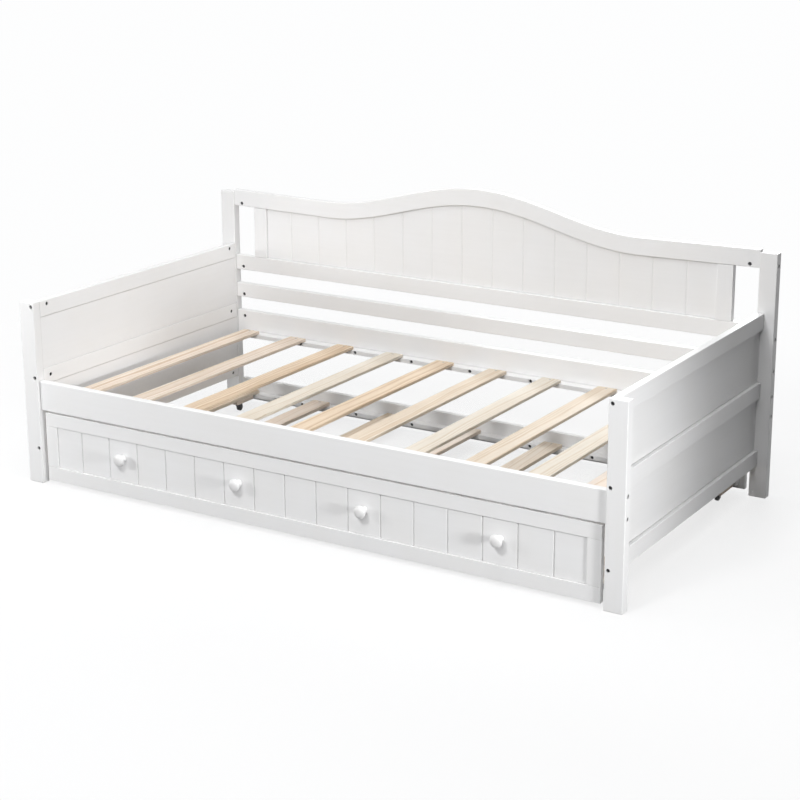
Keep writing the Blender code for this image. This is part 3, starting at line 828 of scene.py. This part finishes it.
def build_arch_rail():
    """The curved top rail, swept along the arch with rounded edges."""
    node = "back_arch_rail"
    low, high = node_box(node)
    half_length = high.x
    count = math.ceil(2 * half_length / ARCH_STEP)
    stations = [-half_length + 2 * half_length * index / count for index in range(count + 1)]
    rings = []
    for x in stations:
        top = arch_top(x)
        section = rounded_section((low.y, high.y), (top - ARCH_RAIL_HEIGHT, top), PAINT_EDGE)
        rings.append([(x, y, z) for y, z in section])
    outward = (0.0, -1.0, 0.0)
    nuts = nuts_near_ends(low, high, low.y, BACK_BOLT_Z[4:5], outward)
    shape = drilled(loft(rings), "daybed", nuts=nuts)
    add_piece(f"{node}_board", shape, PAINT, "daybed", "white_paint", [node])


def build_side_panels():
    """The plain panels between the rails of both arms."""
    for _, word in SIDES:
        for level in ("lower", "upper"):
            add_board(f"side_{level}_panel_{word}", edge=THIN_EDGE)


# ============================================================ trundle boards
def build_trundle_front():
    """The four members of the front frame with their joint lines, and its panel."""
    node = "trundle_front_frame"
    low, high = node_box(node)
    lower_top = low.z + TRUNDLE_RAIL_BOTTOM
    upper_low = high.z - TRUNDLE_RAIL_TOP
    stile_z = (lower_top + JOINT_GAP, upper_low - JOINT_GAP)
    members = {
        "lower_rail": (low, Vector((high.x, high.y, lower_top))),
        "upper_rail": (Vector((low.x, low.y, upper_low)), high),
        "left_stile": (Vector((low.x, low.y, stile_z[0])),
                       Vector((low.x + TRUNDLE_STILE, high.y, stile_z[1]))),
        "right_stile": (Vector((high.x - TRUNDLE_STILE, low.y, stile_z[0])),
                        Vector((high.x, high.y, stile_z[1]))),
    }
    for word, (near, far) in members.items():
        shape = rounded_box(near, far, THIN_EDGE)
        nodes = [node] if word == "lower_rail" else ()
        add_piece(f"trundle_front_{word}", shape, PAINT, "trundle", "white_paint", nodes)

    low, high = node_box("trundle_front_panel")
    places = groove_stations(high.x, 2 * high.x, TRUNDLE_GROOVES)
    shape = grooved_panel(places, high.y - low.y, lambda x: low.z, lambda x: high.z)
    bmesh.ops.translate(shape, vec=(0.0, low.y, 0.0), verts=shape.verts)
    nodes = ["trundle_front_panel"]
    add_piece("trundle_front_boards", shape, PAINT, "trundle", "white_paint", nodes)


def build_knobs():
    """Turned knobs: a flared foot, a waisted neck and a domed head."""
    for number in range(1, KNOB_COUNT + 1):
        node = f"knob_{number}"
        low, high = node_box(node)
        length = high.y - low.y
        radius = (high.x - low.x) / 2
        rim = length - KNOB_DOME
        profile = [*KNOB_FOOT, *KNOB_NECK, (radius - 0.0008, rim - 0.0016), (radius, rim)]
        for index in range(1, KNOB_DOME_STEPS):
            angle = math.pi / 2 * index / KNOB_DOME_STEPS
            rise = (length - rim) * math.sin(angle)
            profile.append((radius * math.cos(angle) ** 0.85, rim + rise))
        profile.append((0.0, length))
        foot = Vector(((low.x + high.x) / 2, high.y, (low.z + high.z) / 2))
        shape = turned(profile, foot, (0.0, -1.0, 0.0), 56)
        add_piece(f"{node}_turned", shape, SHADED_KNOB_PAINT, "trundle", "knob_paint", [node])


def slat_screws(low, high):
    """One screw near each end of a slat, on its top face."""
    middle_x = (low.x + high.x) / 2
    places = (low.y + SLAT_SCREW_INSET, high.y - SLAT_SCREW_INSET)
    return [(Vector((middle_x, y, high.z)), (0.0, 0.0, 1.0)) for y in places]


def build_slat(node, body, tone):
    """A pine slat with a screw near each end."""
    low, high = node_box(node)
    screws = slat_screws(low, high)
    shape = drilled(rounded_box(low, high, THIN_EDGE), body, screws=screws)
    add_piece(f"{node}_board", shape, PINES[tone], body, "bare_pine", [node])


def build_slats():
    """The slats of the daybed and the inner slats of the trundle."""
    for number, tone in enumerate(SLAT_TONES, 1):
        build_slat(f"slat_{number:02d}", "daybed", tone)
    for number, tone in enumerate(TRUNDLE_TONES, 1):
        build_slat(f"trundle_slat_{number}", "trundle", tone)


# ================================================================== casters
def caster_blocks(word):
    """Y spans of the two caster blocks under an outer slat, from the node's mesh."""
    node = frame["nodes"][f"caster_slat_{word}"]
    low = node_box(f"caster_slat_{word}")[0]
    places = [v.co.y for v in node.data.vertices if v.co.z < low.z + 0.002]
    front = [y for y in places if y < 0.0]
    back = [y for y in places if y > 0.0]
    return {"front": (min(front), max(front)), "back": (min(back), max(back))}


def build_caster_slats():
    """The two outer slats of the trundle, each with two blocks for the casters."""
    inner_low, inner_high = node_box("trundle_slat_1")
    slat_thickness = inner_high.z - inner_low.z
    for _, word in SIDES:
        node = f"caster_slat_{word}"
        low, high = node_box(node)
        slat_low = Vector((low.x, low.y, high.z - slat_thickness))
        shape = rounded_box(slat_low, high, THIN_EDGE)
        shape = drilled(shape, "trundle", screws=slat_screws(low, high))
        pine = PINES[CASTER_SLAT_TONE]
        add_piece(f"{node}_board", shape, pine, "trundle", "bare_pine", [node])
        for end, (near, far) in caster_blocks(word).items():
            block_low = Vector((low.x, near - 0.001, low.z))
            block_high = Vector((high.x, far + 0.001, slat_low.z - 0.0001))
            shape = rounded_box(block_low, block_high, THIN_EDGE)
            name = f"caster_block_{end}_{word}"
            add_piece(name, shape, PINES[CASTER_BLOCK_TONE], "trundle", "bare_pine")


def plate_shape(centre, top_z):
    """A square mounting plate with round corners, as a closed body."""
    half = PLATE_SIZE / 2
    outline = rounded_section((-half, half), (-half, half), PLATE_CORNER, 5)
    rings = []
    levels = ((0.0, 0.0004), (0.0004, 0.0), (PLATE_THICKNESS - 0.0004, 0.0),
              (PLATE_THICKNESS, 0.0004))
    for depth, drawn_in in levels:
        scale = (half - drawn_in) / half
        z = top_z - depth
        rings.append([(centre.x + u * scale, centre.y + v * scale, z) for u, v in outline])
    return loft(rings)


def cheek_shape(axis_y, axle, crown_z, x_span):
    """One side wall of the fork: straight under the crown, round at the axle."""
    front, rear = axis_y - FORK_NOSE, axle.y + FORK_EYE
    points = [(rear, crown_z), (front, crown_z), (front, crown_z - 0.0035)]
    for index in range(13):
        angle = math.radians(205 + 155 * index / 12)
        point = (axle.y + FORK_EYE * math.cos(angle), axle.z + FORK_EYE * math.sin(angle))
        points.append(point)
    rings = [[(x, y, z) for y, z in points] for x in x_span]
    shape = loft(rings)
    rims = [edge for edge in shape.edges if edge.calc_face_angle(0.0) > math.radians(60)]
    bmesh.ops.bevel(shape, geom=rims, offset=0.0004, segments=2, profile=0.5,
                    affect="EDGES", clamp_overlap=True)
    return shape


def build_fork(place, axis, axle, block_low, body):
    """The black fork with its crown and bearing in one closed body, and its steel axle."""
    node = f"caster_fork_{place}"
    low, high = node_box(node)
    crown_top = axle.z + WHEEL_RADIUS + CROWN_RISE
    crown_low = crown_top - CROWN_THICKNESS
    shape = bmesh.new()
    for x_span in ((low.x, low.x + CHEEK_THICKNESS), (high.x - CHEEK_THICKNESS, high.x)):
        join(shape, cheek_shape(axis.y, axle, crown_top - 0.0006, x_span))
    crown = rounded_box(Vector((low.x, axis.y - FORK_NOSE, crown_low)),
                        Vector((high.x, axle.y + FORK_EYE, crown_top)), 0.0008)
    shape = combined(shape, crown, "UNION")
    bearing_top = block_low - PLATE_THICKNESS - 0.0005
    rise = bearing_top - crown_top
    profile = [(0.0, -0.001), (0.0082, -0.001), (0.0086, 0.3 * rise), (0.0084, 0.45 * rise),
               (0.0076, 0.55 * rise), (0.0084, 0.65 * rise), (0.0086, 0.8 * rise),
               (0.0080, rise), (0.0, rise)]
    bearing = turned(profile, Vector((axis.x, axis.y, crown_top)), (0.0, 0.0, 1.0), 40)
    shape = combined(shape, bearing, "UNION")
    add_piece(f"{node}_moulded", shape, FORK_PLASTIC, body, "caster_fork", [node])

    pin = bmesh.new()
    for side in (-1, 1):
        face = Vector((high.x if side > 0 else low.x, axle.y, axle.z))
        head = [(0.0, -0.0012), (0.0020, -0.0012), (0.0021, -0.0001), (0.0013, 0.0),
                (0.0007, -0.0004), (0.0, -0.0004)]
        join(pin, turned(head, face, (side, 0.0, 0.0), 24))
    half = (high.x - low.x) / 2 - 0.0014
    shaft = [(0.0, -half), (0.0022, -half), (0.0022, half), (0.0, half)]
    join(pin, turned(shaft, axle, (1.0, 0.0, 0.0), 24))
    add_piece(f"caster_axle_{place}", pin, ZINC, body, "zinc_steel")


def build_wheel(place, axle, body):
    """A wheel with a hub, a dished web and two shallow grooves in its tread."""
    node = f"caster_wheel_{place}"
    half = [(0.0029, 0.0064), (0.0050, 0.0064), (0.0054, 0.0060), (0.0060, 0.0048),
            (0.0088, 0.0045), (0.0097, 0.0053), (0.0110, 0.0055), (0.0119, 0.0050),
            (WHEEL_RADIUS, 0.0040), (WHEEL_RADIUS, 0.0024), (0.0121, 0.0020),
            (0.0121, 0.0014), (WHEEL_RADIUS, 0.0010)]
    profile = half + [(radius, -along) for radius, along in reversed(half)]
    shape = turned(profile, axle, (1.0, 0.0, 0.0), 64)
    add_piece(f"{node}_moulded", shape, WHEEL_PLASTIC, body, "caster_wheel", [node])


def build_casters():
    """All four casters with their plates, screws, forks and wheels."""
    joints = {joint["name"]: joint for joint in frame["joints"]}
    plates = bmesh.new()
    for _, x_word in SIDES:
        block_low = node_box(f"caster_slat_{x_word}")[0].z
        for y_word, _ in ENDS:
            place = f"{y_word}_{x_word}"
            axis = Vector(joints[f"swivel_{place}"]["pos_m"])
            axle = Vector(joints[f"roll_{place}"]["pos_m"])
            top_z = block_low - 0.0002
            join(plates, plate_shape(axis, top_z))
            offset = PLATE_SIZE / 2 - PLATE_SCREW_INSET
            under = top_z - PLATE_THICKNESS
            for x in (-offset, offset):
                for y in (-offset, offset):
                    spot = Vector((axis.x + x, axis.y + y, under))
                    fittings.add("plate_screws", "trundle", screw_head(spot, (0, 0, -1)))
            build_fork(place, axis, axle, block_low, f"caster_swivel_{place}")
            build_wheel(place, axle, f"caster_roller_{place}")
    add_piece("caster_plates", plates, DARK_STEEL, "trundle", "zinc_steel")


# =============================================================== the studio
CAMERA_PLACE = (2.82204, -4.50260, 1.90123)
CAMERA_TURN = (1.2986, -0.0003, 0.5385)
CAMERA_LENS = 82.2217
CAMERA_SHIFT = (-0.038316, -0.052542)
FLOOR_FADE = (1.15, 2.7)        # where the floor begins and ends to fade, from the middle
FLOOR_COVER = 0.24              # the rest of the floor lets the white surround through
PANELS = {
    # name: place, target, size, power in watts
    "top": ((0.0, 0.0, 4.2), (0.0, 0.0, 0.0), (3.5, 3.5), 75.0),
    "front_high": ((0.2, -3.2, 3.0), (0.0, 0.2, 0.1), (0.6, 0.6), 57.0),
    "front_right": ((1.6, -3.9, 2.6), (0.0, 0.0, 0.15), (0.7, 0.7), 31.0),
    "front_low": ((0.3, -4.8, 1.1), (0.0, 0.0, 0.35), (2.0, 1.0), 15.0),
    "left_low": ((-2.6, -2.0, 0.9), (0.0, -0.5, 0.2), (0.5, 0.6), 12.8),
    "left_near": ((-1.75, -1.35, 0.62), (-0.5, -0.5, 0.2), (0.22, 0.22), 4.9),
    "left_high": ((-2.8, -0.6, 2.0), (0.2, 0.5, 0.5), (0.8, 1.4), 6.5),
    "over_right": ((0.75, -0.9, 2.6), (-1.0, 0.0, 0.3), (1.0, 1.0), 13.0),
    "right_top": ((1.75, 0.3, 2.6), (1.1, 0.2, 0.0), (0.5, 1.0), 5.0),
    "right_rear": ((2.6, 1.9, 1.0), (1.0, 0.4, 0.35), (0.8, 0.8), 5.0),
    "rear": ((-0.8, 4.6, 1.7), (0.0, 0.5, 0.35), (2.4, 1.4), 92.0),
    "left_rear": ((-3.7, 1.0, 1.3), (-1.0, 0.0, 0.3), (1.2, 1.2), 30.0),
}
SIDE_SPOT = ((3.6, -1.3, 0.75), (0.99, -0.62, 0.35), 291.0)    # place, target, power in watts
SIDE_SPOT_ANGLE = math.radians(32)
SIDE_SPOT_RADIUS = 0.25


def add_camera():
    """The camera that sees the bed from above its right front corner."""
    data = bpy.data.cameras.new("camera")
    data.sensor_width = 36.0
    data.lens = CAMERA_LENS
    data.shift_x, data.shift_y = CAMERA_SHIFT
    data.clip_end = 200.0
    camera = bpy.data.objects.new("camera", data)
    camera.location = CAMERA_PLACE
    camera.rotation_euler = CAMERA_TURN
    bpy.context.scene.collection.objects.link(camera)
    bpy.context.scene.camera = camera


def add_floor():
    """A pale matt floor round the bed that fades into the white surround."""
    shader = Shader("studio_floor")
    place = shader.node("ShaderNodeTexCoord").outputs["Object"]
    cloud = shader.noise(place, 0.6, 2.0)
    tint = shader.mix(shader.spread(cloud, 0.3, 0.7), (0.86, 0.86, 0.865), (0.84, 0.84, 0.845))
    reach = shader.node("ShaderNodeVectorMath", {0: place}, operation="LENGTH")
    cover = shader.spread(reach.outputs["Value"], FLOOR_FADE[0], FLOOR_FADE[1],
                          FLOOR_COVER, 0.0)
    shader.set(Base_Color=tint, Roughness=0.75, Alpha=cover)
    shape = bmesh.new()
    bmesh.ops.create_circle(shape, cap_ends=True, segments=96, radius=FLOOR_FADE[1])
    mesh = mesh_of("floor", shape)
    mesh.materials.append(shader.material)
    floor = bpy.data.objects.new("floor", mesh)
    bpy.context.scene.collection.objects.link(floor)


def add_light(name, kind, place, target, power):
    """A light at place that shines towards target; its data is returned."""
    data = bpy.data.lights.new(name, kind)
    data.energy = power
    light = bpy.data.objects.new(name, data)
    light.location = place
    aim = Vector(target) - Vector(place)
    light.rotation_euler = aim.to_track_quat("-Z", "Y").to_euler()
    bpy.context.scene.collection.objects.link(light)
    return data


def add_studio():
    """Soft panels and one spot for the light, and a white surround that only sight and gloss see."""
    for name, (place, target, size, power) in PANELS.items():
        data = add_light(name, "AREA", place, target, power)
        data.shape = "RECTANGLE"
        data.size, data.size_y = size
    data = add_light("side_spot", "SPOT", *SIDE_SPOT)
    data.spot_size = SIDE_SPOT_ANGLE
    data.spot_blend = 1.0
    data.shadow_soft_size = SIDE_SPOT_RADIUS
    world = bpy.data.worlds.new("studio")
    world.use_nodes = True
    shade = world.node_tree.nodes["Background"]
    shade.inputs["Color"].default_value = (0.995, 0.997, 1.0, 1.0)
    shade.inputs["Strength"].default_value = 0.99
    world.cycles_visibility.diffuse = False
    bpy.context.scene.world = world
    bpy.context.scene.view_settings.view_transform = "Standard"


build_legs_and_posts()
build_side_rails()
build_cross_rails()
build_ledgers()
build_back_panel()
build_arch_rail()
build_side_panels()
build_trundle_front()
build_knobs()
build_slats()
build_caster_slats()
build_casters()
fittings.build()
add_floor()
add_camera()
add_studio()
